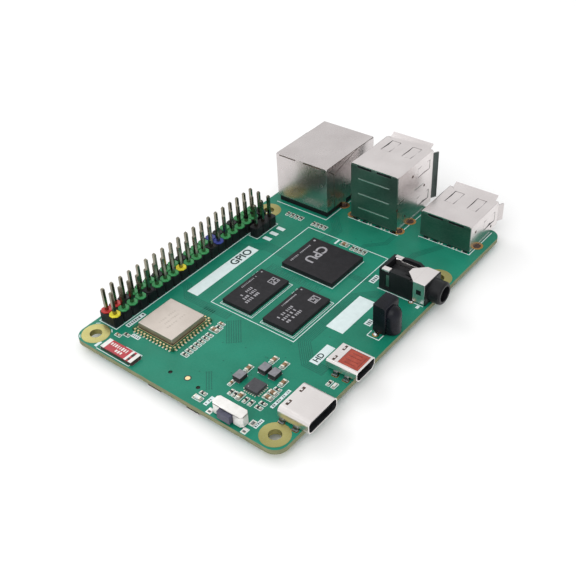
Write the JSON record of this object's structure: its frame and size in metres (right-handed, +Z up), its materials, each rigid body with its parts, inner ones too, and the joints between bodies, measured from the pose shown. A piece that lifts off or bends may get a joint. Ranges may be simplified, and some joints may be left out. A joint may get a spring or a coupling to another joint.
{
  "type": "single board computer",
  "caption": "Green circuit board computer with pin header, chips, wireless module, Ethernet, stacked and single USB-A, USB-C, micro HDMI, audio jack, infrared receiver and side button.",
  "frame": {"origin": "centre of the board's outline on its underside, on the printed label field", "axes": "+Z up out of the component side, +X towards the Ethernet and USB ports, +Y towards the pin header"},
  "size_m": [0.0881, 0.0583, 0.0189],
  "materials": {
    "board": "green solder mask over copper tracks, plated pads and white print",
    "module_board": "dark green solder mask",
    "tinned_sheet": "bright tinned sheet",
    "black_plastic": "moulded black plastic",
    "chip_moulding": "charcoal moulding compound with light print",
    "beige_can": "matt beige plated sheet",
    "antenna_print": "ceramic with a red printed top",
    "ferrite": "grey moulded ferrite",
    "gold_contact": "gold flash",
    "smoked_epoxy": "dark infrared-passing epoxy",
    "amber_film": "amber polyimide film",
    "slate_plastic": "slate moulded plastic",
    "clear_plastic": "clear light pipe"
  },
  "bodies": {
    "board": {"pcb": "board", "soc": "chip_moulding", "ram_1": "chip_moulding", "ram_2": "chip_moulding", "wifi_module_board": "module_board", "wifi_module_shield": "beige_can", "antenna": "antenna_print", "power_ic": "chip_moulding", "inductor_1": "ferrite", "inductor_2": "ferrite", "inductor_3": "ferrite", "gpio_header": "black_plastic", "debug_header": "black_plastic", "usb_single_shell": "tinned_sheet", "usb_single_insulator": "black_plastic", "usb_single_back_plate": "tinned_sheet", "usb_dual_shell": "tinned_sheet", "usb_dual_insulator": "black_plastic", "usb_dual_back_plate": "tinned_sheet", "ethernet_shield": "tinned_sheet", "ethernet_housing": "black_plastic", "ethernet_contact_insert": "gold_contact", "ethernet_magnetics": "black_plastic", "ethernet_light_pipe_left": "clear_plastic", "ethernet_light_pipe_right": "clear_plastic", "audio_jack_housing": "black_plastic", "audio_sleeve_plate": "tinned_sheet", "audio_contact_left": "tinned_sheet", "audio_contact_right": "tinned_sheet", "ir_receiver": "smoked_epoxy", "ir_lead_1": "tinned_sheet", "ir_lead_2": "tinned_sheet", "ir_lead_3": "tinned_sheet", "hdmi_shell": "tinned_sheet", "hdmi_window": "amber_film", "hdmi_insulator": "black_plastic", "usb_c_shell": "tinned_sheet", "usb_c_insulator": "black_plastic", "button_base": "black_plastic", "button_cover": "beige_can", "button_dome": "tinned_sheet", "sd_socket_base": "black_plastic", "sd_socket_cover": "tinned_sheet", "sd_spring": "tinned_sheet", "sd_contacts": "gold_contact"},
    "plunger": {"button_plunger": "slate_plastic"},
    "card_slider": {"sd_slider": "black_plastic"}
  },
  "joints": [
    {"name": "button_press", "type": "slide", "parent": "board", "child": "plunger", "axis": [1, 0, 0], "range_m": [0, 0.00025]},
    {"name": "card_push", "type": "slide", "parent": "board", "child": "card_slider", "axis": [1, 0, 0], "range_m": [0, 0.003], "deforming": ["sd_spring"]}
  ]
}
